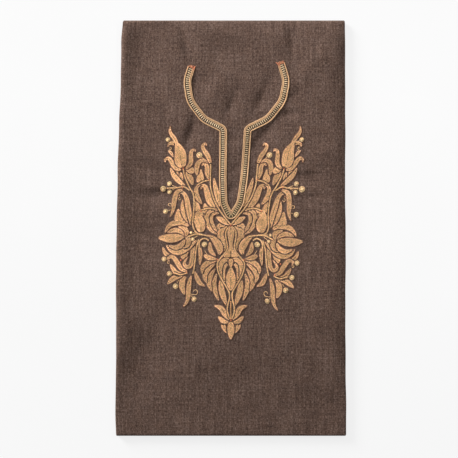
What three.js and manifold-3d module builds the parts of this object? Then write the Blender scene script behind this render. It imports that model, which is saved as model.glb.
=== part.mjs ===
// An unstitched pheran: a length of brown wool suiting, folded flat, with a braided and embroidered neck.
// Millimetres, +Z up. The cloth lies on Z = 0, its face is up and its neck end points along +Y.
import * as THREE from "three";
import { mergeVertices } from "three/addons/utils/BufferGeometryUtils.js";
import Module from "manifold-3d";

const wasm = await Module();
wasm.setup();

// ---- driving dimensions ----
const HALF_LENGTH = 416; // half of the folded length, neck end to foot
const PLY = 1.2; // one layer of cloth
const SEAM = 0.3; // space between separate pieces
const PACKET = 3 * PLY; // the width is folded in three, so a strip is three plies
const STRIP_GAP = 0.6; // air between the three strips of the lengthwise fold
const HEIGHT = 3 * PACKET + 2 * STRIP_GAP;
const FLANGE = 8; // how far the rolled side is modelled on its hidden side
const TUCK = 20; // how far the foot turn runs on under the front
const FREE_END_NUB = 1.7; // the corners of the free end stand out this far
const CENTRE_Z = HEIGHT / 2;
const NECK_TURN_Y = HALF_LENGTH - CENTRE_Z; // axis of the wide turn round all three strips
const FOOT_TURN_R = PACKET + STRIP_GAP / 2; // the narrow turn from the front strip to the middle one
const FOOT_TURN_Z = HEIGHT - FOOT_TURN_R;
const FOOT_SETBACK = 1; // the foot turn stops this far short of the free end's corners
const FOOT_TURN_Y = FOOT_SETBACK - HALF_LENGTH + FOOT_TURN_R;
const FREE_END_Y = FREE_END_NUB - HALF_LENGTH;
const MIDDLE_STRIP_END_Y = NECK_TURN_Y - 2; // its cut end lies inside the neck turn
const ROLL = PACKET / 2; // radius of a rolled side edge

// Side edges of the front strip, by distance along the cloth.
const EDGES = [
  { y: 416, left: -220, right: 228.5 },
  { y: 370, left: -222.5, right: 229 },
  { y: 300, left: -221.2, right: 229.4 },
  { y: 210, left: -223.6, right: 229 },
  { y: 100, left: -226.5, right: 228.6 },
  { y: 0, left: -228.5, right: 229.2 },
  { y: -150, left: -229.2, right: 228.8 },
  { y: -300, left: -228.8, right: 228.6 },
  { y: -365, left: -230, right: 230 },
  { y: -416, left: -228.8, right: 229.6 },
];
const UNDER_INSET = 1.3; // the underside strip is a little narrower than the front
const MIDDLE_INSET = 1; // and so is the middle one
const CORE_INSET = 12; // the hidden plies stay clear of the rolled sides

// The stack puffs up from its rolled edges; a shoulder is the stretch over which it rises from one edge.
const PUFF = 5.5;
const SHOULDER_POWER = 2.2;
const LEFT_SHOULDER = 24;
const RIGHT_SHOULDER = 44;
const NECK_SHOULDER = 46;
const FOOT_SHOULDER = 14;
const FOOT_DECLINE = 150; // before the foot the puff goes down slowly
const FOOT_DECLINE_SHARE = 0.6;
const CORE_EASE = 3; // the hidden plies puff up less than the front by this much

// Waves and creases of the neck zone: middle, direction, half length, spread and rise (below 0 for a trough).
const CREASES = [
  { x: -170, y: 368, turn: 90, half: 60, spread: 26, rise: -2.5 },
  { x: 130, y: 372, turn: 90, half: 44, spread: 16, rise: -1.8 },
  { x: 200, y: 350, turn: 90, half: 60, spread: 30, rise: 1.5 },
  { x: -88, y: 356, turn: 103, half: 58, spread: 12, rise: -0.9 },
  { x: 118, y: 225, turn: -10, half: 30, spread: 11, rise: -1.2 },
  { x: 121, y: 268, turn: -15, half: 26, spread: 11, rise: -1 },
  { x: 4, y: 244, turn: 47, half: 34, spread: 12, rise: -1.1 },
  { x: 54, y: 256, turn: 80, half: 28, spread: 12, rise: -0.9 },
];
const FLAT_HALF_WIDTH = 150; // the embroidered field keeps the cloth flat
const FLAT_TOP = 206;
const FLAT_FADE = 22;
const NECK_ZONE_FOOT = 24; // below this there are no creases
const NECK_ZONE_FADE = 20;

// The neck drawing leans a little to the right towards the top.
const LEAN = 12.5;
const LEAN_START = 22;
const LEAN_LENGTH = 170;

// Middle line of the braid on one side, from the foot of the slit to the raw end, and its corner radii.
const BRAID_LINE = [
  { x: 0, y: 13, round: 0 },
  { x: 16.5, y: 48, round: 40 },
  { x: 21, y: 100, round: 60 },
  { x: 24, y: 196, round: 10 },
  { x: 64, y: 216, round: 46 },
  { x: 92, y: 252, round: 50 },
  { x: 99, y: 292, round: 50 },
  { x: 87, y: 331, round: 0 },
];
const BRAID_SLIT_ROUND = 9.5; // radius of the braid's middle line where the slit ends
// Section of the braid: across from its outer edge to the neck side, and up from its base.
const BRAID_SECTION = [
  { across: -8, up: 0 },
  { across: -8, up: 1.1 },
  { across: -6.9, up: 2.2 },
  { across: -5.4, up: 2.2 },
  { across: -4.4, up: 1.1 },
  { across: 1.6, up: 1.1 },
  { across: 3, up: 2.1 },
  { across: 4.8, up: 1.6 },
  { across: 6.6, up: 2.1 },
  { across: 8, up: 1.1 },
  { across: 8, up: 0 },
];
const BRAID_LIFT = 0.45; // clear of the facets of the cloth below it
const BRAID_CLEAR = 0.35; // kept free round the braid in the embroidery

// ---- embroidery: one half of the field, mirrored about the neck's axis ----
const LEAF_HEIGHT = 1;
const BERRY_HEIGHT = 1.4;
const STEM_WIDTH = 3;

// Leaves and petals: root, tip, bow of the midrib to the left, and width.
const LEAVES = [
  // bud at the upper corner
  { x: 99, y: 122, tipX: 122, tipY: 170, bow: 5, width: 25 },
  { x: 116, y: 160, tipX: 132, tipY: 201, bow: -3, width: 9 },
  { x: 102, y: 119, tipX: 137, tipY: 134, bow: 8, width: 10 },
  { x: 101, y: 122, tipX: 86, tipY: 156, bow: 9, width: 10 },
  { x: 95, y: 116, tipX: 75, tipY: 112, bow: 0, width: 15 },
  { x: 94, y: 113, tipX: 78, tipY: 81, bow: -3, width: 10 },
  { x: 82, y: 78, tipX: 123, tipY: 123, bow: -5, width: 11 },
  // arching leaf with its inner leaves
  { x: 73, y: 10, tipX: 102, tipY: 74, bow: 9, width: 9 },
  { x: 97, y: 73, tipX: 119, tipY: 16, bow: 9, width: 10 },
  { x: 90, y: 4, tipX: 96, tipY: 57, bow: 2, width: 13 },
  { x: 106, y: 4, tipX: 106, tipY: 36, bow: 0, width: 19 },
  // column beside the braid
  { x: 49, y: 130, tipX: 62, tipY: 166, bow: -3, width: 11 },
  { x: 50, y: 90, tipX: 61, tipY: 132, bow: 3, width: 11 },
  { x: 60, y: 133, tipX: 75, tipY: 102, bow: 4, width: 9 },
  { x: 60, y: 82, tipX: 65, tipY: 109, bow: -2, width: 14 },
  { x: 32, y: 36, tipX: 57, tipY: 86, bow: 4, width: 13 },
  { x: 56, y: 86, tipX: 58, tipY: 44, bow: 7, width: 9 },
  { x: 31, y: 42, tipX: 42, tipY: 99, bow: 4, width: 9 },
  { x: 30, y: 36, tipX: 57, tipY: 32, bow: 0, width: 20 },
  { x: 74, y: 24, tipX: 69, tipY: 57, bow: 2, width: 11 },
  // paisley bud and its arches
  { x: 4, y: 6, tipX: 31, tipY: 22, bow: 0, width: 12 },
  { x: 32, y: 31, tipX: 29, tipY: -17, bow: 18, width: 9 },
  { x: 29, y: 26, tipX: 24, tipY: -14, bow: 9, width: 7 },
  { x: 55, y: -14, tipX: 64, tipY: 30, bow: 2, width: 25 },
  // side flower
  { x: 73, y: 5, tipX: 134, tipY: -14, bow: 13, width: 11 },
  { x: 92, y: -26, tipX: 144, tipY: -28, bow: 0, width: 15 },
  { x: 90, y: -22, tipX: 128, tipY: -10, bow: 4, width: 11 },
  { x: 92, y: -28, tipX: 129, tipY: -41, bow: -9, width: 10 },
  { x: 109, y: -3, tipX: 96, tipY: -43, bow: -16, width: 11 },
  { x: 71, y: -32, tipX: 131, tipY: -41, bow: -17, width: 11 },
  // lower spray
  { x: 78, y: -97, tipX: 135, tipY: -45, bow: -3, width: 10 },
  { x: 84, y: -99, tipX: 120, tipY: -82, bow: 3, width: 9 },
  { x: 84, y: -99, tipX: 126, tipY: -120, bow: 3, width: 11 },
  { x: 84, y: -97, tipX: 95, tipY: -143, bow: 4, width: 13 },
  { x: 77, y: -97, tipX: 94, tipY: -165, bow: -2, width: 10 },
  { x: 73, y: -86, tipX: 52, tipY: -120, bow: 11, width: 11 },
  { x: 60, y: -16, tipX: 61, tipY: -78, bow: 4, width: 11 },
  { x: 71, y: -34, tipX: 84, tipY: -94, bow: 3, width: 10 },
  { x: 82, y: -92, tipX: 84, tipY: -50, bow: 3, width: 9 },
  // vase at the middle
  { x: 34, y: -18, tipX: 20, tipY: -53, bow: 3, width: 15 },
  { x: 44, y: -20, tipX: 24, tipY: -62, bow: 8, width: 8 },
  { x: 5, y: 3, tipX: 14, tipY: -52, bow: 12, width: 10 },
  // lower flower
  { x: 4, y: -70, tipX: 16, tipY: -104, bow: 7, width: 9 },
  { x: 22, y: -66, tipX: 58, tipY: -90, bow: 3, width: 11 },
  { x: 22, y: -72, tipX: 48, tipY: -110, bow: 4, width: 11 },
  { x: 23, y: -78, tipX: 37, tipY: -126, bow: 4, width: 11 },
  { x: 22, y: -88, tipX: 23, tipY: -146, bow: 5, width: 11 },
  { x: 13, y: -100, tipX: 10, tipY: -158, bow: 6, width: 10 },
  { x: 22, y: -62, tipX: 54, tipY: -55, bow: -2, width: 9 },
  // calyx over the pendant
  { x: 2, y: -186, tipX: 34, tipY: -155, bow: 4, width: 11 },
  { x: 1, y: -187, tipX: 24, tipY: -176, bow: -1, width: 9 },
  { x: 3, y: -186, tipX: 9, tipY: -208, bow: 2, width: 9 },
];
// Leaves on the axis itself.
const AXIS_LEAVES = [
  { x: 0, y: 8, tipX: 0, tipY: -60, bow: 0, width: 15 },
  { x: 0, y: -50, tipX: 0, tipY: -76, bow: 0, width: 26 },
  { x: 0, y: -70, tipX: 0, tipY: -132, bow: 0, width: 21 },
  { x: 0, y: -184, tipX: 0, tipY: -222, bow: 0, width: 14 },
];
// Stems, each through a few points.
const STEMS = [
  { through: [[103, 132], [98, 116], [78, 72], [75, 40], [74, -6], [46, -19], [26, -17]] },
  { through: [[82, 76], [124, 85]] },
  { through: [[80, 74], [135, 77]] },
  { through: [[52, 134], [70, 145]] },
  { through: [[30, 38], [52, 94], [57, 136]] },
  { through: [[71, -5], [96, -26]] },
  { through: [[64, -16], [73, -70], [75, -92], [86, -99]] },
  { through: [[4, 6], [11, -18], [5, -38], [26, -69], [26, -82], [3, -128]] },
  { through: [[1, -124], [1, -188]] },
  { through: [[119, 22], [130, 27]] },
  { through: [[108, -86], [133, -72]] },
  { through: [[96, -100], [123, -100]] },
  { through: [[92, -110], [110, -124]] },
  { through: [[86, -130], [74, -148]] },
  { through: [[122, 164], [134, 175]] },
  { through: [[60, -16], [50, -36]] },
];
const BERRIES = [
  { x: 134, y: 175, radius: 5 },
  { x: 124, y: 85, radius: 4.5 },
  { x: 136, y: 77, radius: 4.5 },
  { x: 130, y: 27, radius: 4.5 },
  { x: 70, y: 145, radius: 6 },
  { x: 133, y: -72, radius: 4.5 },
  { x: 123, y: -100, radius: 6 },
  { x: 110, y: -124, radius: 6 },
  { x: 74, y: -148, radius: 4.5 },
  { x: 50, y: -36, radius: 8.5 },
];

// ---- shared helpers ----
const smooth = (from, to, value) => THREE.MathUtils.smoothstep(value, from, to);
const radians = THREE.MathUtils.degToRad;

function leanAt(y) {
  return y < LEAN_START ? 0 : LEAN * (1 - Math.exp((LEAN_START - y) / LEAN_LENGTH));
}

// Left and right edge of the front strip at y, eased between the rows of EDGES.
function edgesAt(y) {
  const found = EDGES.findIndex((row) => row.y <= y);
  const next = THREE.MathUtils.clamp(found < 0 ? EDGES.length : found, 1, EDGES.length - 1);
  const above = EDGES[next - 1];
  const below = EDGES[next];
  const share = 1 - smooth(below.y, above.y, y);
  return {
    left: THREE.MathUtils.lerp(above.left, below.left, share),
    right: THREE.MathUtils.lerp(above.right, below.right, share),
  };
}

function toSolid(geometry) {
  const bare = geometry.index ? geometry.toNonIndexed() : geometry.clone();
  bare.deleteAttribute("normal");
  bare.deleteAttribute("uv");
  const merged = mergeVertices(bare, 1e-4);
  const vertProperties = merged.attributes.position.array;
  const triVerts = new Uint32Array(merged.index.array);
  return new wasm.Manifold(new wasm.Mesh({ numProp: 3, vertProperties, triVerts }));
}

function toGeometry(solid) {
  const mesh = solid.getMesh();
  const geometry = new THREE.BufferGeometry();
  geometry.setAttribute("position", new THREE.BufferAttribute(mesh.vertProperties, 3));
  geometry.setIndex(new THREE.BufferAttribute(mesh.triVerts, 1));
  geometry.computeVertexNormals();
  return geometry;
}

// Triangles between two rows of points that run the same way; at holds each point's share along its row.
function zip(a, b) {
  const faces = [];
  let i = 0;
  let j = 0;
  while (i < a.length - 1 || j < b.length - 1) {
    const stepA = j === b.length - 1 || (i < a.length - 1 && a[i + 1].at <= b[j + 1].at);
    faces.push(stepA ? [a[i], a[i + 1], b[j]] : [a[i], b[j + 1], b[j]]);
    if (stepA) i += 1;
    else j += 1;
  }
  return faces;
}

// Faces listed as triples of points, turned outwards if the body came out inside out.
function closedGeometry(faces) {
  const volume = faces.reduce((sum, [a, b, c]) => sum + a.p.dot(b.p.clone().cross(c.p)), 0);
  const turned = volume < 0 ? faces.map(([a, b, c]) => [a, c, b]) : faces;
  const points = turned.flat().map((corner) => corner.p);
  return mergeVertices(new THREE.BufferGeometry().setFromPoints(points), 1e-4);
}

// A closed wall between an outer and an inner set of rows; the rows may differ in number and in length.
function wallGeometry(outer, inner) {
  const sheet = (rows) => rows.slice(1).flatMap((row, k) => zip(rows[k], row));
  const side = (rows, pick) => rows.map((row) => ({ p: pick(row).p, at: row.along }));
  const first = (row) => row[0];
  const last = (row) => row[row.length - 1];
  return closedGeometry([
    ...sheet(outer),
    ...sheet([...inner].reverse()),
    ...zip(inner[0], outer[0]),
    ...zip(last(outer), last(inner)),
    ...zip(side(outer, first), side(inner, first)),
    ...zip(side(inner, last), side(outer, last)),
  ]);
}

// ---- cloth: stations along its length, from the free end underneath to the tuck behind the foot ----
// A station is an axis (y, z), an outer radius about it and the way the outer face looks there.
function flatStation(y, z, facing, inset) {
  const edges = edgesAt(y);
  return { y, z, radius: 0, facing, left: edges.left + inset, right: edges.right - inset };
}

function turnStations({ y, z, radius, from, steps, insets }) {
  const edges = edgesAt(y);
  return Array.from({ length: steps - 1 }, (_, k) => {
    const share = (k + 1) / steps;
    const inset = THREE.MathUtils.lerp(insets[0], insets[1], share);
    const facing = from + 180 * share;
    return { y, z, radius, facing, left: edges.left + inset, right: edges.right - inset };
  });
}

const NECK_ROW_STEP = 14;
const NECK_ROWS = Math.round((NECK_TURN_Y - NECK_ZONE_FOOT) / NECK_ROW_STEP);
const NECK_COLUMNS = 28;
const PLAIN_COLUMNS = 12;
const UNDER_COLUMNS = 4;
const COLUMN_CROWDING = 0.6; // how much closer the columns stand at the shoulders
const ROLL_STEPS = 4;

const neckRowY = (k) => THREE.MathUtils.lerp(NECK_TURN_Y, NECK_ZONE_FOOT, k / NECK_ROWS);

const FOOT_ROWS = [-220, -260, -335, -390, -403]; // more rows where the puff declines

function clothStations() {
  const plainRows = EDGES.slice(1, -1).map((row) => row.y);
  const under = [FREE_END_Y, ...[...plainRows].reverse(), NECK_TURN_Y];
  const lower = [...plainRows.filter((y) => y < NECK_ZONE_FOOT), ...FOOT_ROWS, FOOT_TURN_Y];
  const below = lower.sort((a, b) => b - a);
  const neck = Array.from({ length: NECK_ROWS + 1 }, (_, k) => neckRowY(k));
  return [
    ...under.map((y) => flatStation(y, 0, -90, UNDER_INSET)),
    ...turnStations({
      y: NECK_TURN_Y, z: CENTRE_Z, radius: CENTRE_Z, from: -90, steps: 8, insets: [UNDER_INSET, 0],
    }),
    ...neck.map((y) => ({ ...flatStation(y, HEIGHT, 90, 0), columns: NECK_COLUMNS })),
    ...below.map((y) => ({ ...flatStation(y, HEIGHT, 90, 0), columns: PLAIN_COLUMNS })),
    ...turnStations({
      y: FOOT_TURN_Y, z: FOOT_TURN_Z, radius: FOOT_TURN_R, from: 90, steps: 8, insets: [0, MIDDLE_INSET],
    }),
    ...[0, TUCK].map((run) =>
      flatStation(FOOT_TURN_Y + run, FOOT_TURN_Z - FOOT_TURN_R, 270, MIDDLE_INSET),
    ),
  ];
}

// Place of a column of the face; the columns stand closer together at the shoulders.
function columnX({ left, right }, number, columns) {
  const share = number / columns;
  const crowded = share - (COLUMN_CROWDING * Math.sin(2 * Math.PI * share)) / (2 * Math.PI);
  return THREE.MathUtils.lerp(left + ROLL, right - ROLL, crowded);
}

// Section across the strip: hidden flange, rolled side, face, rolled side, hidden flange.
// top is 1 on the face and goes to 0 round the roll, and says how much of the puff a point takes.
function sectionAcross({ left, right }, inner, columns) {
  const radius = inner ? ROLL - PLY : ROLL;
  const roll = Array.from({ length: ROLL_STEPS + 1 }, (_, k) => Math.PI * (1 - k / ROLL_STEPS));
  const half = [
    { x: ROLL + FLANGE, depth: ROLL + radius, top: 0 },
    ...roll.map((a) => ({
      x: ROLL - radius * Math.sin(a),
      depth: ROLL - radius * Math.cos(a),
      top: (1 + Math.cos(a)) / 2,
    })),
  ];
  const face = Array.from({ length: columns - 1 }, (_, k) => ({
    x: columnX({ left, right }, k + 1, columns),
    depth: ROLL - radius,
    top: 1,
    at: (k + 1) / columns,
  }));
  const count = half.length;
  return [
    ...half.map((point, k) => ({ ...point, x: left + point.x, at: k + 1 - count })),
    ...face,
    ...half.map((point, k) => ({ ...point, x: right - point.x, at: count - k })).reverse(),
  ];
}

// 0 at an edge and 1 a shoulder's length inside it.
function shoulder(share) {
  return 1 - (1 - THREE.MathUtils.clamp(share, 0, 1)) ** SHOULDER_POWER;
}

// How much of the full puff there is at a point, apart from the slow decline before the foot.
function puffShare(x, y) {
  const { left, right } = edgesAt(y);
  const across = shoulder((x - left) / LEFT_SHOULDER) * shoulder((right - x) / RIGHT_SHOULDER);
  const along = shoulder((HALF_LENGTH - y) / NECK_SHOULDER);
  return across * along * shoulder((y + HALF_LENGTH - FOOT_SETBACK) / FOOT_SHOULDER);
}

function puffAt(y) {
  const decline = 1 - smooth(0, FOOT_DECLINE, y + HALF_LENGTH - FOOT_SETBACK);
  return PUFF * (1 - FOOT_DECLINE_SHARE * decline);
}

function creasesAt(x, y) {
  const foot = smooth(NECK_ZONE_FOOT, NECK_ZONE_FOOT + NECK_ZONE_FADE, y);
  const clear = Math.max(
    smooth(FLAT_HALF_WIDTH, FLAT_HALF_WIDTH + FLAT_FADE, Math.abs(x)),
    smooth(FLAT_TOP, FLAT_TOP + FLAT_FADE, y),
  );
  const rises = CREASES.map((crease) => {
    const turn = radians(crease.turn);
    const along = (x - crease.x) * Math.cos(turn) + (y - crease.y) * Math.sin(turn);
    const across = (y - crease.y) * Math.cos(turn) - (x - crease.x) * Math.sin(turn);
    return crease.rise * Math.exp(-((along / crease.half) ** 2) - (across / crease.spread) ** 2);
  });
  return foot * clear * rises.reduce((sum, rise) => sum + rise);
}

// How far the front stands above its rolled edges.
function riseAt(x, y) {
  return puffShare(x, y) * (puffAt(y) + creasesAt(x, y));
}

function rowOfPoints(station, inner, along) {
  const look = radians(station.facing);
  const upward = station.facing > 0 && station.facing < 180;
  const columns = station.columns ?? UNDER_COLUMNS;
  const row = sectionAcross(station, inner, columns).map(({ x, depth, top, at }) => {
    const reach = station.radius - depth;
    const y = station.y + reach * Math.cos(look);
    const rise = upward ? top * riseAt(x, y) : 0;
    return { p: new THREE.Vector3(x, y, station.z + reach * Math.sin(look) + rise), at };
  });
  row.along = along;
  return row;
}

// The free end is a cut, so its corners stand out a little past its middle.
function pullFreeEnd(row) {
  const reach = Math.max(...row.map(({ p }) => Math.abs(p.x)));
  for (const { p } of row) p.y -= FREE_END_NUB * (Math.abs(p.x) / reach) ** 6;
}

function clothRows(inner) {
  let along = 0;
  let before = null;
  const rows = clothStations().map((station) => {
    const look = radians(station.facing);
    const middle = station.radius - PLY / 2;
    const here = [station.y + middle * Math.cos(look), station.z + middle * Math.sin(look)];
    along += before ? Math.hypot(here[0] - before[0], here[1] - before[1]) : 0;
    before = here;
    return rowOfPoints(station, inner, along);
  });
  pullFreeEnd(rows[0]);
  return rows;
}

function clothGeometry() {
  return wallGeometry(clothRows(false), clothRows(true));
}

// Height of the faceted front at a point.
function faceHeight(x, y) {
  const step = (NECK_TURN_Y - NECK_ZONE_FOOT) / NECK_ROWS;
  const row = THREE.MathUtils.clamp((NECK_TURN_Y - y) / step, 0, NECK_ROWS - 1e-9);
  const upper = Math.floor(row);
  const heights = [upper, upper + 1].map((k) => {
    const rowY = neckRowY(k);
    const edges = edgesAt(rowY);
    const places = Array.from({ length: NECK_COLUMNS + 1 }, (_, c) => columnX(edges, c, NECK_COLUMNS));
    const next = places.findIndex((place) => place > x);
    const share = (x - places[next - 1]) / (places[next] - places[next - 1]);
    return THREE.MathUtils.lerp(riseAt(places[next - 1], rowY), riseAt(places[next], rowY), share);
  });
  return HEIGHT + THREE.MathUtils.lerp(heights[0], heights[1], row - upper);
}

// ---- hidden plies: the core that fills the turns, and the middle strip with its rolled sides ----
function arc(centreY, centreZ, radius, from, to, steps) {
  return Array.from({ length: steps + 1 }, (_, k) => {
    const angle = radians(THREE.MathUtils.lerp(from, to, k / steps));
    return new THREE.Vector2(centreY + radius * Math.cos(angle), centreZ + radius * Math.sin(angle));
  });
}

function coreGeometry() {
  const clear = PLY + SEAM;
  const tuckEnd = FOOT_TURN_Y + TUCK + SEAM;
  const tuckTop = FOOT_TURN_Z - FOOT_TURN_R + PLY + SEAM;
  const profile = [
    new THREE.Vector2(FREE_END_Y, clear),
    ...arc(NECK_TURN_Y, CENTRE_Z, CENTRE_Z - clear, -90, 90, 8),
    ...arc(FOOT_TURN_Y, FOOT_TURN_Z, FOOT_TURN_R - clear, 90, 270, 6),
    new THREE.Vector2(tuckEnd, tuckTop),
    new THREE.Vector2(tuckEnd, PACKET),
    new THREE.Vector2(FREE_END_Y, PACKET),
  ];
  const left = Math.max(...EDGES.map((row) => row.left)) + CORE_INSET;
  const right = Math.min(...EDGES.map((row) => row.right)) - CORE_INSET;
  const solid = new THREE.ExtrudeGeometry(new THREE.Shape(profile), {
    depth: right - left,
    bevelEnabled: false,
  });
  solid.applyMatrix4(new THREE.Matrix4().set(0, 0, 1, left, 1, 0, 0, 0, 0, 1, 0, 0, 0, 0, 0, 1));
  return solid;
}

// A closed body through rings of equal count, capped by fans.
function loftGeometry(rings) {
  const faces = rings.slice(1).flatMap((ring, k) => {
    const loop = (points) => [...points, points[0]].map((p, i) => ({ p, at: i }));
    return zip(loop(rings[k]), loop(ring));
  });
  const cap = (ring) => ring.slice(2).map((p, k) => [ring[0], ring[k + 1], p].map((q) => ({ p: q })));
  return closedGeometry([...faces, ...cap([...rings[0]].reverse()), ...cap(rings[rings.length - 1])]);
}

// The puffed upper part of the hidden plies, as rings across the strip.
const CROWN_DEPTH = 1; // how far it reaches into the core
const CROWN_YS = [395, 375, 330, 100, -265, -300, -340, -375, -400];
const CROWN_COLUMNS = 12;

function crownGeometry() {
  const base = HEIGHT - PLY - SEAM;
  const rings = CROWN_YS.map((y) => {
    const { left, right } = edgesAt(y);
    const inner = { left: left + CORE_INSET, right: right - CORE_INSET };
    const columns = Array.from({ length: CROWN_COLUMNS + 1 }, (_, k) => columnX(inner, k, CROWN_COLUMNS));
    const top = columns.map((x) => {
      const rise = Math.max(0, puffShare(x, y) * puffAt(y) - CORE_EASE * puffShare(x, y));
      return new THREE.Vector3(x, y, base + rise);
    });
    const low = [columns[CROWN_COLUMNS], columns[0]];
    return [...top, ...low.map((x) => new THREE.Vector3(x, y, base - CROWN_DEPTH))];
  });
  return loftGeometry(rings);
}

function middleStripGeometry() {
  const between = EDGES.slice(1, -1).map((row) => row.y);
  const ys = [MIDDLE_STRIP_END_Y, ...between, FOOT_TURN_Y + TUCK + SEAM];
  const rings = ys.map((y) => {
    const { left, right } = edgesAt(y);
    const side = (centre, from) =>
      arc(centre, CENTRE_Z, ROLL, from, from + 180, 6).map((v) => new THREE.Vector3(v.x, y, v.y));
    const inset = MIDDLE_INSET + ROLL;
    return [...side(right - inset, -90), ...side(left + inset, 90)];
  });
  return loftGeometry(rings);
}

function innerLayersGeometry() {
  const core = toSolid(coreGeometry()).add(toSolid(crownGeometry()));
  return toGeometry(core.add(toSolid(middleStripGeometry())));
}

// ---- neck braid ----
const BRAID_STEP = 15; // along its straight stretches
const BRAID_TURN_STEP = radians(14); // round its corners

// Points of one rounded corner of the braid's line.
function roundedCorner(before, corner, after, radius) {
  const into = corner.clone().sub(before).normalize();
  const out = after.clone().sub(corner).normalize();
  const turn = Math.acos(THREE.MathUtils.clamp(into.dot(out), -1, 1));
  const reach = radius * Math.tan(turn / 2);
  const side = Math.sign(into.cross(out));
  const start = corner.clone().addScaledVector(into, -reach);
  const centre = start.clone().add(new THREE.Vector2(-into.y, into.x).multiplyScalar(side * radius));
  const steps = Math.max(2, Math.ceil(turn / BRAID_TURN_STEP));
  const spoke = start.clone().sub(centre);
  return Array.from({ length: steps + 1 }, (_, k) =>
    spoke.clone().rotateAround(new THREE.Vector2(), (side * turn * k) / steps).add(centre),
  );
}

// The whole middle line, from the left raw end down round the slit to the right raw end.
function braidLine() {
  const mirrored = BRAID_LINE.slice(1).map((row) => ({ ...row, x: -row.x }));
  const slitEnd = { ...BRAID_LINE[0], round: BRAID_SLIT_ROUND };
  const rows = [...mirrored.reverse(), slitEnd, ...BRAID_LINE.slice(1)];
  const corners = rows.map((row) => new THREE.Vector2(row.x, row.y));
  const rounded = corners.flatMap((corner, k) =>
    rows[k].round ? roundedCorner(corners[k - 1], corner, corners[k + 1], rows[k].round) : [corner],
  );
  const filled = rounded.flatMap((point, k) => {
    const next = rounded[k + 1] ?? point;
    const steps = Math.max(1, Math.round(point.distanceTo(next) / BRAID_STEP));
    return Array.from({ length: steps }, (_, i) => point.clone().lerp(next, i / steps));
  });
  return filled.map(({ x, y }) => new THREE.Vector2(x + leanAt(y), y));
}

// A section swept along the braid's line, standing on the faceted cloth.
function sweptBraid(section, lift) {
  const line = braidLine();
  const rings = line.map((point, k) => {
    const before = line[Math.max(0, k - 1)];
    const after = line[Math.min(line.length - 1, k + 1)];
    const along = after.clone().sub(before).normalize();
    return section.map(({ across, up }) => {
      const x = point.x - along.y * across;
      const y = point.y + along.x * across;
      return new THREE.Vector3(x, y, faceHeight(x, y) + lift + up);
    });
  });
  return loftGeometry(rings);
}

// ---- embroidery ----
const LEAF_STEPS = 4;

const LEAF_SKEW = 0.85; // under 1 puts a leaf's widest place nearer its root
const LEAF_FULLNESS = 0.8; // under 1 rounds its sides

// Outline of a leaf whose midrib bows to the left of the way from root to tip.
function leafOutline({ x, y, tipX, tipY, bow, width }) {
  const root = new THREE.Vector2(x, y);
  const run = new THREE.Vector2(tipX, tipY).sub(root);
  const leftward = new THREE.Vector2(-run.y, run.x).normalize();
  const at = (share, side) => {
    const middle = root.clone().addScaledVector(run, share);
    middle.addScaledVector(leftward, bow * 4 * share * (1 - share));
    const along = run.clone().addScaledVector(leftward, bow * 4 * (1 - 2 * share)).normalize();
    const half = (width / 2) * Math.sin(Math.PI * share ** LEAF_SKEW) ** LEAF_FULLNESS;
    return middle.add(new THREE.Vector2(-along.y, along.x).multiplyScalar(side * half));
  };
  const shares = Array.from({ length: LEAF_STEPS - 1 }, (_, k) => (k + 1) / LEAF_STEPS);
  const left = shares.map((share) => at(share, 1));
  const right = shares.map((share) => at(share, -1)).reverse();
  return [root, ...left, new THREE.Vector2(tipX, tipY), ...right].reverse();
}

function stemOutline({ through }) {
  const points = through.map(([x, y]) => new THREE.Vector2(x, y));
  const sides = [1, -1].map((side) =>
    points.map((point, k) => {
      const before = points[Math.max(0, k - 1)];
      const after = points[Math.min(points.length - 1, k + 1)];
      const along = after.clone().sub(before).normalize();
      const out = new THREE.Vector2(-along.y, along.x);
      return point.clone().addScaledVector(out, (side * STEM_WIDTH) / 2);
    }),
  );
  return [...sides[1], ...sides[0].reverse()];
}

function berryOutline({ x, y, radius }) {
  const round = new THREE.EllipseCurve(x, y, radius, radius, 0, 2 * Math.PI);
  return round.getPoints(8).slice(0, 8);
}

// A flat raised patch of stitches on the cloth, on the drawn side or mirrored.
function patch(outline, height, side) {
  const placed = outline.map(({ x, y }) => new THREE.Vector2(side * x + leanAt(y), y));
  const shape = new THREE.Shape(placed);
  const solid = new THREE.ExtrudeGeometry(shape, { depth: height, bevelEnabled: false });
  return toSolid(solid.translate(0, 0, HEIGHT + PUFF + SEAM));
}

const CUT_DEPTH = 1; // the braid's clearance reaches below and above the stitches
const CUT_HEIGHT = 4;

function embroideryGeometry() {
  const half = [
    ...LEAVES.map((leaf) => ({ outline: leafOutline(leaf), height: LEAF_HEIGHT })),
    ...STEMS.map((stem) => ({ outline: stemOutline(stem), height: LEAF_HEIGHT })),
    ...BERRIES.map((berry) => ({ outline: berryOutline(berry), height: BERRY_HEIGHT })),
  ];
  const patches = [
    ...half.flatMap(({ outline, height }) => [1, -1].map((side) => patch(outline, height, side))),
    ...AXIS_LEAVES.map((leaf) => patch(leafOutline(leaf), LEAF_HEIGHT, 1)),
  ];
  const reach = BRAID_SECTION[BRAID_SECTION.length - 1].across + BRAID_CLEAR;
  const cutter = [
    { across: -reach, up: -CUT_DEPTH },
    { across: -reach, up: CUT_HEIGHT },
    { across: reach, up: CUT_HEIGHT },
    { across: reach, up: -CUT_DEPTH },
  ];
  const field = patches.reduce((joined, next) => joined.add(next));
  return toGeometry(field.subtract(toSolid(sweptBraid(cutter, 0))));
}

// ---- assembly ----
const WOOL = new THREE.MeshStandardMaterial({ color: 0x5c4a41, roughness: 0.95, metalness: 0 });
const INNER_WOOL = new THREE.MeshStandardMaterial({ color: 0x54443c, roughness: 0.95, metalness: 0 });
const BRAID = new THREE.MeshStandardMaterial({ color: 0xa98a66, roughness: 0.7, metalness: 0 });
const THREAD = new THREE.MeshStandardMaterial({ color: 0xb28c6a, roughness: 0.65, metalness: 0 });

const pheran = new THREE.Group();

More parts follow.
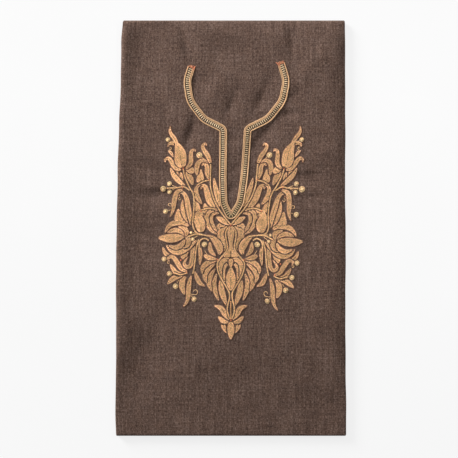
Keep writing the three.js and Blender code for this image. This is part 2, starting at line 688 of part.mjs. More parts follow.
function addPiece(name, geometry, material) {
  const mesh = new THREE.Mesh(geometry, material);
  mesh.name = name;
  pheran.add(mesh);
}

addPiece("cloth", clothGeometry(), WOOL);
addPiece("inner_layers", innerLayersGeometry(), INNER_WOOL);
addPiece("neck_braid", sweptBraid(BRAID_SECTION, BRAID_LIFT), BRAID);
addPiece("neck_embroidery", embroideryGeometry(), THREAD);

export default pheran;
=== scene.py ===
from collections import namedtuple
from math import ceil, cos, log, pi, radians, sin, tan

import bpy
import numpy as np
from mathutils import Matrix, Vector


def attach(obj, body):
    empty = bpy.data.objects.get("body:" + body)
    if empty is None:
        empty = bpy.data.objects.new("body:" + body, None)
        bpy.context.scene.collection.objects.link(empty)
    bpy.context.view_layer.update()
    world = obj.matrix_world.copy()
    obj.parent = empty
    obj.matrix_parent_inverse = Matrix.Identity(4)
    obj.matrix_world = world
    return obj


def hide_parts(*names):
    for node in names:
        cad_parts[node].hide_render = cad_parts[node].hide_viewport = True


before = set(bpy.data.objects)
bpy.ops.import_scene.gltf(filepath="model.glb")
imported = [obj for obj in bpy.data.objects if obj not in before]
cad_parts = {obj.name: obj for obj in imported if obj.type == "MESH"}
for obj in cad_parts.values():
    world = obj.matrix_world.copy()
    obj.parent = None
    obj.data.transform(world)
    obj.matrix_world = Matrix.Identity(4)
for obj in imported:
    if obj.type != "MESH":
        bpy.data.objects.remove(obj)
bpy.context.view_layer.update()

MM = 0.001
TINY = 1e-9
rng = np.random.default_rng(20)
scene = bpy.context.scene


def table(columns, rows, defaults=()):
    kind = namedtuple("Row", columns, defaults=defaults)
    return [kind(*row) for row in rows]


# ---- sizes of the folded cloth: three strips of three plies, and the front one puffs up ----
# The upper left corner, the puff, its slopes and the creases differ a little from the solids'.
HALF_LENGTH = 416
PLY = 1.2
PACKET = 3 * PLY
STRIP_GAP = 0.6
HEIGHT = 3 * PACKET + 2 * STRIP_GAP
CENTRE_Z = HEIGHT / 2
NECK_TURN_Y = HALF_LENGTH - CENTRE_Z
FOOT_TURN_R = PACKET + STRIP_GAP / 2
FOOT_TURN_Z = HEIGHT - FOOT_TURN_R
FOOT_END_Y = 1 - HALF_LENGTH
FOOT_TURN_Y = FOOT_END_Y + FOOT_TURN_R
FREE_END_NUB = 1.7
FREE_END_Y = FREE_END_NUB - HALF_LENGTH
ROLL = PACKET / 2
FLANGE = 8
TUCK = 20
UNDER_INSET = 1.3
MIDDLE_INSET = 1

EDGES = table("y left right", [
    (416, -216.5, 228.5), (370, -219.5, 229), (300, -220.5, 229.4), (210, -223.6, 229),
    (100, -226.5, 228.6), (0, -228.5, 229.2), (-150, -229.2, 228.8), (-300, -228.8, 228.6),
    (-365, -230, 230), (-416, -228.8, 229.6),
])

# ---- how the stack puffs up ----
PUFF = 6
SHOULDER_POWER = 2.2
LEFT_SHOULDER = 11
RIGHT_SHOULDER = 32
NECK_SHOULDER = 46
FOOT_SHOULDER = 4
FOOT_DECLINE = 240  # the puff goes down slowly over this stretch before the foot
FOOT_DECLINE_SHARE = 0.78

# Broad waves and creases: middle, direction, half length, spread and rise (a trough is below 0).
# A crease is steep on the left of its direction, and GENTLE times as wide on the right.
GENTLE = 2.2
CREASES = table("x y turn half spread rise", [
    (-180, 370, 90, 90, 24, -4), (-188, -10, 90, 330, 28, -3), (-92, 372, 102, 46, 7, -2.6),
    (121, 380, 92, 44, 7, -2.6), (-5, 366, 0, 50, 16, -1.6), (165, 322, 58, 62, 18, 2.6),
    (-26, 276, 62, 40, 14, 2.8), (30, 236, 50, 55, 30, 1.3), (-1, 243, 67, 26, 6, -1.9),
    (29, 266, 64, 26, 9, 0.9), (60, 259, 67, 34, 6.5, -2.3), (66, 189, 51, 46, 6.5, -2.5),
    (114, 226, -5, 22, 6.5, -2.7), (122, 262, 28, 20, 7, -1.4), (-81, 190, 73, 28, 7, -3.8),
    (-68, 292, 84, 20, 7, -1.6), (-150, 66, 0, 36, 8, -3.2), (-150, 117, -24, 32, 7, -2),
    (-176, -14, 8, 40, 14, -1.6), (156, 103, 2, 26, 7, -2.2), (186, 150, 20, 30, 8, 1.2),
    (160, 60, 6, 26, 6, -1.3), (10, 117, 40, 12, 6, -1.4), (2, 76, 30, 12, 6, -1.4),
    (0, 179, 50, 14, 8, -0.9), (-170, -246, 62, 90, 24, -3), (186, -346, -24, 44, 12, -1.8),
    (-60, -330, 8, 90, 20, -0.8),
])
CREASE_WIDTH = 1.2
CREASE_DEPTH = 1.6
RIPPLE_PITCH = 19
RIPPLE_RISE = 0.25
RIPPLE_SLANT = 0.15
RIPPLE_X = 170
RIPPLE_SPREAD = 26
RIPPLE_Y = 45
RIPPLE_REACH = 110

# The neck drawing leans a little to the right towards the top.
LEAN = 14.5
LEAN_START = 22
LEAN_LENGTH = 170

# ---- braid: middle line of one side, with corner radii ----
BRAID_LINE = table("x y round", [
    (0, 19.5, 4.5), (16.5, 48, 40), (21, 100, 60), (24, 196, 10),
    (64, 216, 46), (92, 252, 50), (99, 292, 50), (88, 327.5, 0),
])
LEFT_END_TRIM = 8  # how much shorter the left raw end is, in millimetres
BAR_PITCH = 4.2


# ---- shared helpers ----
def ease(low, high, value):
    """0 below low, 1 above high and a smooth step between."""
    share = np.clip((value - low) / (high - low), 0, 1)
    return share * share * (3 - 2 * share)


def edges_at(y):
    """Left and right edge of the front at y, eased between the rows of EDGES."""
    left, right = EDGES[0].left, EDGES[0].right
    for above, below in zip(EDGES, EDGES[1:]):
        share = 1 - ease(below.y, above.y, y)
        left = left + (below.left - above.left) * share
        right = right + (below.right - above.right) * share
    return left, right


def lean_at(y):
    return np.where(y < LEAN_START, 0, LEAN * (1 - np.exp((LEAN_START - y) / LEAN_LENGTH)))


def shoulder(share):
    return 1 - (1 - np.clip(share, 0, 1)) ** SHOULDER_POWER


def rise_at(x, y):
    """How far the front stands above its rolled edges: puff, waves, creases and ripples."""
    left_edge, right_edge = edges_at(y)
    decline = 1 - FOOT_DECLINE_SHARE * (1 - ease(0, FOOT_DECLINE, y - FOOT_END_Y))
    edge = shoulder((x - left_edge) / LEFT_SHOULDER) * shoulder((right_edge - x) / RIGHT_SHOULDER)
    edge = edge * shoulder((HALF_LENGTH - y) / NECK_SHOULDER)
    edge = edge * shoulder((y - FOOT_END_Y) / FOOT_SHOULDER)
    waves = 0
    for crease in CREASES:
        turn, right, up = radians(crease.turn), x - crease.x, y - crease.y
        along = right * cos(turn) + up * sin(turn)
        across = up * cos(turn) - right * sin(turn)
        spread = CREASE_WIDTH * crease.spread * np.where(across > 0, 1, GENTLE)
        reach = (along / crease.half) ** 2 + (across / spread) ** 2
        waves = waves + CREASE_DEPTH * crease.rise * np.exp(-reach)
    beside = np.exp(-(((abs(x) - RIPPLE_X) / RIPPLE_SPREAD) ** 2))
    beside = beside * np.exp(-(((y - RIPPLE_Y) / RIPPLE_REACH) ** 4))
    waves = waves + RIPPLE_RISE * beside * np.sin(2 * pi * (y + RIPPLE_SLANT * x) / RIPPLE_PITCH)
    return edge * (PUFF * decline + waves)


def face_at(x, y):
    return HEIGHT + rise_at(x, y)


def along_of(points):
    """Unit directions along a polyline."""
    step = np.vstack([points[1:], points[-1:]]) - np.vstack([points[:1], points[:-1]])
    return step / np.maximum(np.linalg.norm(step, axis=1, keepdims=True), TINY)


def leftward(directions):
    return np.column_stack([-directions[:, 1], directions[:, 0]])


def run_of(points):
    """Distance along a polyline at each of its points."""
    steps = np.linalg.norm(np.diff(points, axis=0), axis=1)
    return np.concatenate([[0], np.cumsum(steps)])


def resample(points, step):
    """The polyline with even steps near the asked one."""
    run = run_of(points)
    count = max(1, round(run[-1] / step))
    at = np.linspace(0, run[-1], count + 1)
    return np.column_stack([np.interp(at, run, column) for column in points.T])


def link(name, data):
    thing = bpy.data.objects.new(name, data)
    scene.collection.objects.link(thing)
    return thing


def make_mesh(name, points, faces, material, node, uv=None, tone=None):
    """A piece for a node, from points in millimetres, each with its uv or tone."""
    mesh = bpy.data.meshes.new(name)
    mesh.from_pydata(points * MM, [], faces)
    mesh.shade_smooth()
    if uv is not None:
        layer = mesh.uv_layers.new(name="UVMap")
        layer.data.foreach_set("uv", (uv * MM)[faces.ravel()].ravel())
    if tone is not None:
        layer = mesh.color_attributes.new("tone", "FLOAT_COLOR", "POINT")
        rgba = np.column_stack([tone, np.zeros(len(tone)), np.ones(len(tone))])
        layer.data.foreach_set("color", rgba.ravel())
    mesh.validate()
    mesh.materials.append(material)
    piece = link(name, mesh)
    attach(piece, "root")
    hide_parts(node)
    return piece


def grid_faces(rows, columns, closed=False):
    """Quads over points numbered row by row; closed joins the last column to the first."""
    index = np.arange(rows * columns).reshape(rows, columns)
    if closed:
        index = np.column_stack([index, index[:, 0]])
    low, high = index[:-1], index[1:]
    quads = [low[:, :-1], low[:, 1:], high[:, 1:], high[:, :-1]]
    return np.stack(quads, axis=-1).reshape(-1, 4)


# ---- materials ----
Finish = namedtuple("Finish", "roughness sheen sheen_roughness tint specular")
FINISH_SOCKETS = ("Roughness", "Sheen Weight", "Sheen Roughness", "Sheen Tint", "Specular IOR Level")
MIX_FROM, MIX_TO, MIX_RESULT = 6, 7, 2  # the colour sockets of a Mix node


class Shader:
    """The nodes of a material or the world; surface is the one that they end in."""

    def __init__(self, owner, surface="Principled BSDF"):
        owner.use_nodes = True
        self.owner = owner
        self.tree = owner.node_tree
        self.surface = self.tree.nodes[surface]

    def add(self, kind, sockets=(), **settings):
        node = self.tree.nodes.new("ShaderNode" + kind)
        for key, value in settings.items():
            setattr(node, key, value)
        for key, value in dict(sockets).items():
            self.set(node.inputs[key], value)
        return node

    def set(self, socket, value):
        if isinstance(value, bpy.types.NodeSocket):
            self.tree.links.new(value, socket)
        else:
            socket.default_value = value

    def end(self, key, value):
        self.set(self.surface.inputs[key], value)

    def math(self, operation, *values):
        return self.add("Math", enumerate(values), operation=operation).outputs[0]

    def noise(self, vector, look):
        scale, detail, roughness = look
        mapping = self.add("Mapping", {"Vector": vector, "Scale": scale})
        sockets = {"Vector": mapping.outputs[0], "Scale": 1, "Detail": detail, "Roughness": roughness}
        return self.add("TexNoise", sockets).outputs["Fac"]

    def mix(self, share, start, end, blend="MIX"):
        sockets = {"Factor": share, MIX_FROM: start, MIX_TO: end}
        return self.add("Mix", sockets, data_type="RGBA", blend_type=blend).outputs[MIX_RESULT]

    def weigh(self, pairs):
        """0.5 plus the sum of (value - 0.5) times its weight."""
        total = 0.5
        for value, weight in pairs:
            total = self.math("MULTIPLY_ADD", self.math("SUBTRACT", value, 0.5), weight, total)
        return total

    def ramp(self, value, stops):
        node = self.add("ValToRGB", {"Fac": value})
        elements = node.color_ramp.elements
        while len(elements) < len(stops):
            elements.new(0.5)
        for element, (place, colour) in zip(elements, stops):
            element.position = place
            element.color = (*colour, 1)
        return node.outputs["Color"]

    def bump(self, height, depth):
        node = self.add("Bump", {"Height": height, "Strength": 1.0, "Distance": depth})
        self.end("Normal", node.outputs[0])

    def finish(self, look):
        for key, value in zip(FINISH_SOCKETS, look):
            self.end(key, value)
        return self.owner


def new_material(name):
    return Shader(bpy.data.materials.new(name))


# Looks of noise: cycles per metre on each axis, detail and roughness. Heather is a sum of such layers.
HEATHER = table("look weight", [
    (((760, 170, 1), 2, 0.5), 1.3),  # warp streaks
    (((190, 700, 1), 2, 0.5), 1.0),  # weft streaks
    (((330, 16, 1), 1, 0.5), 0.55),  # single warp lines
    (((18, 330, 1), 1, 0.5), 0.4),  # single weft lines
    (((900, 900, 1), 2, 0.6), 1.5),  # flecks
    (((24, 20, 1), 2, 0.5), 0.25),  # a broad mottle
])
HUE = ((75, 55, 1), 2, 0.5)
HUE_TINT = (0.88, 0.97, 1.08, 1)
FUZZ = ((1500, 1100, 1), 3, 0.7)
TWILL_PER_M = 900
TWILL_SHARE = 0.25
WOOL_BUMP = 0.00009
WOOL_FINISH = Finish(0.95, 0.10, 0.5, (0.9, 0.7, 0.6, 1), 0.12)
WOOL_STOPS = [
    (0.14, (0.037, 0.0212, 0.0150)),
    (0.42, (0.083, 0.0475, 0.0337)),
    (0.58, (0.113, 0.0665, 0.0485)),
    (0.90, (0.208, 0.1355, 0.1035)),
]


def wool_material(name, shade):
    """Heathered brown suiting, with a fine twill and fuzz as bump."""
    shader = new_material(name)
    uv = shader.add("UVMap", uv_map="UVMap").outputs[0]
    layers = [(shader.noise(uv, row.look), row.weight) for row in HEATHER]
    stops = [(at, tuple(part * shade for part in colour)) for at, colour in WOOL_STOPS]
    heather = shader.ramp(shader.weigh(layers), stops)
    hue = shader.noise(uv, HUE)
    shader.end("Base Color", shader.mix(hue, heather, HUE_TINT, "MULTIPLY"))
    split = shader.add("SeparateXYZ", {"Vector": uv})
    diagonal = shader.math("ADD", split.outputs[0], split.outputs[1])
    twill = shader.math("SINE", shader.math("MULTIPLY", diagonal, TWILL_PER_M * 2 * pi))
    fuzz = shader.noise(uv, FUZZ)
    shader.bump(shader.math("MULTIPLY_ADD", twill, TWILL_SHARE, fuzz), WOOL_BUMP)
    return shader.finish(WOOL_FINISH)


FIBRE = ((900, 900, 900), 3, 0.6)
FIBRE_SHARE = 0.5
FIBRE_BASE = 0.75
THREAD_FUZZ = ((2600, 2600, 2600), 2, 0.6)
THREAD_BUMP = 0.00012
THREAD_FINISH = Finish(0.5, 0.15, 0.35, (1.0, 0.8, 0.55, 1), 0.3)


def thread_material(name, plain, warm, roughness):
    """Thread with a tone at its points: red mixes plain to warm, green is brightness."""
    shader = new_material(name)
    tone = shader.add("Attribute", attribute_name="tone")
    split = shader.add("SeparateColor", {"Color": tone.outputs["Color"]})
    place = shader.add("TexCoord").outputs["Object"]
    fibre = shader.noise(place, FIBRE)
    tint = shader.mix(split.outputs[0], (*plain, 1), (*warm, 1))
    light = shader.math("MULTIPLY_ADD", fibre, FIBRE_SHARE, FIBRE_BASE)
    light = shader.math("MULTIPLY", split.outputs[1], light)
    colour = shader.add("VectorMath", {0: tint, "Scale": light}, operation="SCALE")
    shader.end("Base Color", colour.outputs[0])
    shader.bump(shader.noise(place, THREAD_FUZZ), THREAD_BUMP)
    return shader.finish(THREAD_FINISH._replace(roughness=roughness))


WOOL = wool_material("wool_front", 1.0)
# A copy of the front's wool at 0.92 of its brightness: painted shade on the plies inside the stack,
# which show at the sides and foot.
SHADED_INNER_WOOL = wool_material("wool_inner_painted_shade", 0.92)
THREAD = thread_material("embroidery_thread", (0.80, 0.47, 0.21), (0.95, 0.58, 0.345), 0.5)
STEM_THREAD = thread_material("stem_thread", (0.79, 0.49, 0.22), (0.87, 0.53, 0.28), 0.5)
# Dark rust-brown thread round the plumes: partly a real edge, partly painted shade in the gaps between
# plumes.
OUTLINE_AND_SHADE_THREAD = thread_material("outline_and_shade_thread", (0.17, 0.075, 0.042), (0.30, 0.11, 0.065), 0.6)
BERRY_THREAD = thread_material("berry_thread", (0.90, 0.68, 0.36), (0.72, 0.17, 0.07), 0.45)
CORD = thread_material("braid_cord", (0.76, 0.49, 0.26), (0.55, 0.15, 0.07), 0.5)
BARS = thread_material("ladder_thread", (0.92, 0.71, 0.45), (0.60, 0.42, 0.22), 0.5)
GROUND = thread_material("braid_ground", (0.062, 0.035, 0.021), (0.070, 0.055, 0.028), 0.85)


# ---- cloth: one ply under the stack, round the neck end, down the front and tucked in ----
# A station is one row across the ply: the centre and radius of its turn (0 where it is flat), and
# where its outer side faces, in degrees from +Y up.
Station = namedtuple("Station", "y z radius facing inset")
UP = 90
HALF_TURN = 180
FRONT_STEP = 3.4
UNDER_STEP = 13
TUCK_STEP = 7
NECK_TURN_STEPS = 14
FOOT_TURN_STEPS = 12
FACE_COLUMNS = 124
ROLL_STEPS = 6
FREE_END_POWER = 6
# Rolled edges wander by two slow waves, each shifted by a phase.
WANDERS = table("reach length shift", [(0.28, 37, 1), (0.16, 13.7, 2.3)])
OUTER_PHASES = (0.7, 3.1)
MIDDLE_PHASES = (4.2, 0.9)


def even(start, end, step):
    return np.linspace(start, end, max(1, round(abs(end - start) / step)) + 1)


def stations(y, z, radius, facings, insets):
    """One station for each value of what varies."""
    return [Station(*row) for row in np.broadcast(y, z, radius, facings, insets)]


def half_turn(start, steps, insets):
    """Facings and insets over half a turn, without its two ends."""
    shares = np.linspace(0, 1, steps + 1)[1:-1]
    return start + HALF_TURN * shares, np.interp(shares, (0, 1), insets)


def cloth_stations():
    under = even(FREE_END_Y, NECK_TURN_Y, UNDER_STEP)
    neck = half_turn(UP - HALF_TURN, NECK_TURN_STEPS, (UNDER_INSET, 0))
    front = even(NECK_TURN_Y, FOOT_TURN_Y, FRONT_STEP)
    foot = half_turn(UP, FOOT_TURN_STEPS, (0, MIDDLE_INSET))
    tuck = even(FOOT_TURN_Y, FOOT_TURN_Y + TUCK, TUCK_STEP)
    return [
        *stations(under, 0, 0, UP - HALF_TURN, UNDER_INSET),
        *stations(NECK_TURN_Y, CENTRE_Z, CENTRE_Z, *neck),
        *stations(front, HEIGHT, 0, UP, 0),
        *stations(FOOT_TURN_Y, FOOT_TURN_Z, FOOT_TURN_R, *foot),
        *stations(tuck, FOOT_TURN_Z - FOOT_TURN_R, 0, UP + HALF_TURN, MIDDLE_INSET),
    ]


def wander(y, phase):
    """A slow uneven wander of a rolled edge, under half a millimetre."""
    return sum(wave.reach * np.sin(y / wave.length + wave.shift * phase) for wave in WANDERS)


def sides_at(y, inset, phases):
    """Left and right edge of one ply at y, drawn in by its inset."""
    left, right = edges_at(y)
    first, last = phases
    return left + inset + wander(y, first + inset), right - inset + wander(y, last + inset)


def section_across(left, right, radius):
    """x, depth and top share across the strip: flange, roll, face, roll and flange."""
    angles = np.linspace(pi, 0, ROLL_STEPS + 1)
    side_x = np.concatenate([[ROLL + FLANGE, ROLL + FLANGE / 2], ROLL - radius * np.sin(angles)])
    side_depth = np.concatenate([[ROLL + radius] * 2, ROLL - radius * np.cos(angles)])
    side_top = np.concatenate([[0, 0], (1 + np.cos(angles)) / 2])
    face_x = np.linspace(left + ROLL, right - ROLL, FACE_COLUMNS + 1)[1:-1]
    level = np.ones(len(face_x))
    x = np.concatenate([left + side_x, face_x, (right - side_x)[::-1]])
    depth = np.concatenate([side_depth, (ROLL - radius) * level, side_depth[::-1]])
    return x, depth, np.concatenate([side_top, level, side_top[::-1]])


def in_space(x, y, z):
    return np.stack(np.broadcast_arrays(x, y, z), axis=-1)


def cloth_row(station, radius):
    left, right = sides_at(station.y, station.inset, OUTER_PHASES)
    x, depth, top = section_across(left, right, radius)
    look = radians(station.facing)
    reach = station.radius - depth
    y = station.y + reach * cos(look)
    z = station.z + reach * sin(look)
    if 0 < station.facing < HALF_TURN:
        z = z + top * rise_at(x, y)
    return in_space(x, y, z)


def cloth_rows(radius):
    """All rows; the free end is a cut, so its corners stand out a little past its middle."""
    rows = np.array([cloth_row(station, radius) for station in cloth_stations()])
    across = abs(rows[0, :, 0])
    rows[0, :, 1] -= FREE_END_NUB * (across / across.max()) ** FREE_END_POWER
    return rows


def unrolled(rows):
    """Distances across and along the cloth at each point of its rows."""
    across = run_of(rows[len(rows) // 2])
    along = run_of(rows[:, rows.shape[1] // 2])
    return np.stack(np.meshgrid(across, along), axis=-1)


def shell(name, outer, inner, slot, material, node, closed=False):
    """A thin sheet between two grids; its outside is left of open rows and right of closed loops."""
    rows, columns, _ = outer.shape
    count = rows * columns
    top = grid_faces(rows, columns, closed)
    index = np.arange(count).reshape(rows, columns)
    rims = [index[0], index[-1][::-1], index[:, 0][::-1], index[:, -1]]
    if closed:
        rims = [np.append(rim, rim[0]) for rim in rims[:2]]
    strips = [np.stack([rim[:-1], rim[1:], rim[1:] + count, rim[:-1] + count], axis=1) for rim in rims]
    faces = np.vstack([top[:, ::-1], top + count, *strips])
    if closed:
        faces = faces[:, ::-1]
    uv = unrolled(outer).reshape(-1, 2)
    points = np.vstack([outer.reshape(-1, 3), inner.reshape(-1, 3)])
    return make_mesh(name, points, faces, material, node, uv=np.vstack([uv, uv]))


# ---- hidden plies that show at the sides and foot ----
STRIP_STEP = 9
STRIP_COLUMNS = 12
STRIP_CLEAR = 2
SIDE_POINTS = 9
END_PLY_RUN = 60
END_PLY_ROWS = 16
END_PLY_COLUMNS = 90
END_PLY_GAP = 0.1
END_PLY_DEPTH = PLY - 0.25
END_PLY_BACK = 0.8  # how much further back each next ply ends
END_PLY_INSETS = (3.2, 0.5)  # the first, and what each next ply adds
RUFFLE = 0.12
RUFFLE_LENGTH = 9
RUFFLE_FADE = 12
CUT_WANDER = 0.35
CUT_WANDER_LENGTH = 23


def racetrack(y, radius):
    """A closed flat loop round the middle strip, rounded at both sides."""
    left, right = sides_at(y, MIDDLE_INSET, MIDDLE_PHASES)
    angles = np.linspace(-pi / 2, pi / 2, SIDE_POINTS)
    flat = np.linspace(0, 1, STRIP_COLUMNS + 1)[1:-1]
    high = right - ROLL + (left - right + 2 * ROLL) * flat
    out, up = radius * np.cos(angles), radius * np.sin(angles)
    level = np.full(len(high), radius)
    x = np.concatenate([right - ROLL + out, high, left + ROLL - out, high[::-1]])
    return in_space(x, y, CENTRE_Z + np.concatenate([up, level, -up, -level]))


def make_middle_strip():
    ys = even(FOOT_TURN_Y + TUCK + STRIP_CLEAR, NECK_TURN_Y - STRIP_CLEAR, STRIP_STEP)
    grids = [np.array([racetrack(y, radius) for y in ys]) for radius in (ROLL, ROLL - PLY)]
    return shell("middle_strip", *grids, "inner_wool", SHADED_INNER_WOOL, "inner_layers", closed=True)


def make_end_ply(number):
    """One of the two plies that end on the underside strip at the foot."""
    first_inset, more_inset = END_PLY_INSETS
    inset = first_inset + more_inset * number
    y = np.linspace(FREE_END_Y + END_PLY_BACK * number, FREE_END_Y + END_PLY_RUN, END_PLY_ROWS)
    left, right = edges_at(y)
    x = np.linspace(left + inset, right - inset, END_PLY_COLUMNS, axis=1)
    fade = np.exp((y[0] - y) / RUFFLE_FADE)[:, None]
    ruffle = RUFFLE * np.sin(x / RUFFLE_LENGTH + number) * fade
    lower = in_space(x, y[:, None], PLY * number + END_PLY_GAP + ruffle)
    lower[0, :, 1] += CUT_WANDER * np.sin(lower[0, :, 0] / CUT_WANDER_LENGTH + 2 * number)
    upper = lower + [0, 0, END_PLY_DEPTH]
    return shell(f"free_end_ply_{number + 1}", lower, upper, "inner_wool", SHADED_INNER_WOOL, "inner_layers")


# ---- braid round the neck and down the slit ----
CORNER_STEP_DEG = 4


def rounded_corner(before, corner, after, radius):
    """The arc in place of a corner, all as complex numbers."""
    into, out = [way / abs(way) for way in (corner - before, after - corner)]
    turn = np.angle(out / into)
    start = corner - into * radius * tan(abs(turn) / 2)
    spoke = -1j * into * radius * np.sign(turn)
    count = max(3, ceil(abs(turn) / radians(CORNER_STEP_DEG)))
    return start - spoke + spoke * np.exp(1j * np.linspace(0, turn, count))


def braid_line(step):
    """The middle line from the left raw end, round the slit, to the right raw end."""
    rows = [row._replace(x=-row.x) for row in BRAID_LINE[:0:-1]] + BRAID_LINE
    corners = [complex(row.x, row.y) for row in rows]
    trios = zip(corners, corners[1:], corners[2:], rows[1:])
    arcs = [rounded_corner(before, corner, after, row.round) for before, corner, after, row in trios]
    line = np.concatenate([corners[:1], *arcs, corners[-1:]])
    line = resample(np.column_stack([line.real, line.imag]), step)
    line[:, 0] += lean_at(line[:, 1])
    return line


# Across the braid, from its outer edge: outer cord, dark channel with ladder bars, two inner cords.
CORDS = table("across radius phase shade end_red", [
    (-6.6, 1.4, 0.3, 0.92, 0.25),
    (3.6, 1.25, 1.1, 0.82, 0.85),
    (6.1, 1.25, 3.0, 0.82, 0.85),
])
CHANNEL = (-3.7, 2.2)
TAPE = (-7.7, 7.2)
TAPE_UP = 0.35
TAPE_STEP = 2
TAPE_COLUMNS = 9
CLEAR = 0.02  # what lies on the cloth's face stands this far off it
GREEN_Y = 20  # the channel is greenish round the slit's tip
GREEN_REACH = 30
CORD_SQUASH = 0.6
CORD_STEP = 0.95
CORD_PITCH = 5.4
STRAND_R = 0.58  # shares of the cord's radius
STRAND_SWING = 0.5
STRAND_LIFT = 0.9
CORD_TINT = 0.12
TONE_SPREAD = 0.08
SHADE_WAVE = 0.08
SHADE_LENGTH = 31
END_TINT_REACH = 4.5
SIDE_KEEP = 0.97
PINCH = 0.02


def beside(line, across):
    """The line moved sideways, without the loops that a tight corner would leave."""
    moved = line + leftward(along_of(line)) * across
    away = np.linalg.norm(moved[:, None] - line, axis=2).min(axis=1)
    return moved[away > SIDE_KEEP * abs(across)]


def tube(centres, across_dir, radius, sides=6, squash=1.0):
    """Rings round a path in space; across_dir lies level, square to the path."""
    angles = np.linspace(0, 2 * pi, sides, endpoint=False)[:, None]
    level = across_dir[:, None] * np.cos(angles) * radius
    up = np.array([0, 0, 1]) * np.sin(angles) * radius * squash
    return centres[:, None] + level + up


def pinched(ring):
    middle = ring.mean(axis=0)
    return (middle + (ring - middle) * PINCH)[None]


def braid_piece(name, tubes, material):
    """One mesh of tubes, each as rings and their tones; a pinch closes a tube's ends."""
    points, faces, tone = [], [], []
    start = 0
    for rings, colours in tubes:
        rings = np.concatenate([pinched(rings[0]), rings, pinched(rings[-1])])
        rows, sides, _ = rings.shape
        points.append(rings.reshape(-1, 3))
        faces.append(grid_faces(rows, sides, closed=True) + start)
        tone.append(np.repeat(np.vstack([colours[:1], colours, colours[-1:]]), sides, axis=0))
        start += rows * sides
    points, faces, tone = np.vstack(points), np.vstack(faces), np.vstack(tone)
    return make_mesh(name, points, faces, material, "neck_braid", tone=tone)


def level3(directions):
    return np.column_stack([directions, np.zeros(len(directions))])


def on_face(path, lift):
    """Points in space over a flat path, lifted off the cloth's face."""
    return np.column_stack([path, face_at(path[:, 0], path[:, 1]) + lift])


def thread(path, lift, across, radius, tone, **form):
    """A short thread of one tone over a flat path, as rings and tones."""
    count = (len(path), 1)
    rings = tube(on_face(path, lift), level3(np.tile(across, count)), radius, **form)
    return rings, np.tile(tone, count)


def end_tint(line):
    """1 at the raw ends, fading to 0 within a few millimetres."""
    run = run_of(line)
    return np.exp(-(np.minimum(run, run[-1] - run) / END_TINT_REACH) ** 2)


def cord_strands(line, cord):
    """The two twisted strands of one cord: rings, and the tone of each ring."""
    path = resample(beside(line, cord.across), CORD_STEP)
    run = run_of(path)
    side = level3(leftward(along_of(path)))
    middle = on_face(path, TAPE_UP + cord.radius * STRAND_LIFT * CORD_SQUASH)
    swing = cord.radius * STRAND_SWING
    found = []
    for strand in (0, pi):
        angle = 2 * pi * run / CORD_PITCH + cord.phase + strand
        centres = middle + side * (swing * np.cos(angle))[:, None]
        centres[:, 2] += swing * np.sin(angle) * CORD_SQUASH
        wave = SHADE_WAVE * np.sin(run / SHADE_LENGTH + cord.phase)
        bright = cord.shade + wave + rng.normal(0, TONE_SPREAD, len(run))
        red = cord.end_red * end_tint(path) + CORD_TINT + rng.normal(0, TONE_SPREAD, len(run))
        tone = np.column_stack([np.clip(red, 0, 1), bright])
        found.append((tube(centres, side, cord.radius * STRAND_R, squash=CORD_SQUASH), tone))
    return found


def make_cords(line):
    strands = [strand for cord in CORDS for strand in cord_strands(line, cord)]
    return braid_piece("braid_cords", strands, CORD)


# Ladder bars arch across the channel, two threads each; dimmer right of the slit and round its tip.
BAR_POINTS = 7
BAR_THREADS = (-0.4, 0.4)
BAR_R = 0.4
BAR_SQUASH = 0.9
BAR_LIFT = 0.3
BAR_ARCH = 0.4
BAR_SKEW = 0.25
SKEW_LENGTH = 6
BAR_BRIGHT = (0.95, 0.09)  # mean and spread
BAR_TINT_SPREAD = 0.1
SLIT_TOP_Y = 200
SLIT_TIP_Y = 60
SIDE_DIM = 0.45
TIP_DIM = 0.75


def bar_dim(mark):
    if mark[1] < SLIT_TIP_Y:
        return TIP_DIM
    right_side = mark[0] > lean_at(mark[1]) and mark[1] < SLIT_TOP_Y
    return SIDE_DIM if right_side else 0.0


def make_bars(line):
    marks = resample(line, BAR_PITCH)
    runs = along_of(marks)
    sides = leftward(runs)
    across = np.linspace(*CHANNEL, BAR_POINTS)[:, None]
    lift = TAPE_UP + BAR_LIFT + BAR_ARCH * np.sin(np.linspace(0, pi, BAR_POINTS))
    bars = []
    for mark, side, run in zip(marks[1:-1], sides[1:-1], runs[1:-1]):
        skew = rng.normal(0, BAR_SKEW)
        bright = rng.normal(*BAR_BRIGHT)
        for apart in BAR_THREADS:
            path = mark + side * across + run * (apart + skew * across / SKEW_LENGTH)
            tint = np.clip(bar_dim(mark) + rng.normal(0, BAR_TINT_SPREAD), 0, 1)
            bars.append(thread(path, lift, run, BAR_R, [tint, bright], squash=BAR_SQUASH))
    return braid_piece("braid_ladder", bars, BARS)


def make_tape(line):
    """The dark ground that the cords and bars are worked on."""
    path = resample(line, TAPE_STEP)
    side = leftward(along_of(path))
    across = np.linspace(*TAPE, TAPE_COLUMNS)
    flat = path[:, None] + side[:, None] * across[:, None]
    base = face_at(flat[..., 0], flat[..., 1])
    lower, upper = [np.dstack([flat, base + up]) for up in (CLEAR, TAPE_UP)]
    rings = np.concatenate([lower, upper[:, ::-1]], axis=1)
    green = np.exp(-((path[:, 1] - GREEN_Y) / GREEN_REACH) ** 2)
    return braid_piece("braid_tape", [(rings, np.column_stack([green, np.ones(len(path))]))], GROUND)


# Loose threads at the two raw ends, drawn at random from these ranges.
FRAY_COUNT = 26
FRAY_POINTS = 6
FRAY_SIDES = 5
FRAY_REACH = 6
FRAY_SHARE = (0.35, 1.0)
FRAY_ACROSS = (-7, 7)
FRAY_BEND = 1.4
FRAY_START = 1.5
FRAY_LIFT = 0.9
FRAY_WAVE = 0.5
FRAY_R = (0.28, 0.5)
FRAY_TINT = (0.4, 1.0)
FRAY_BRIGHT = (0.8, 1.15)


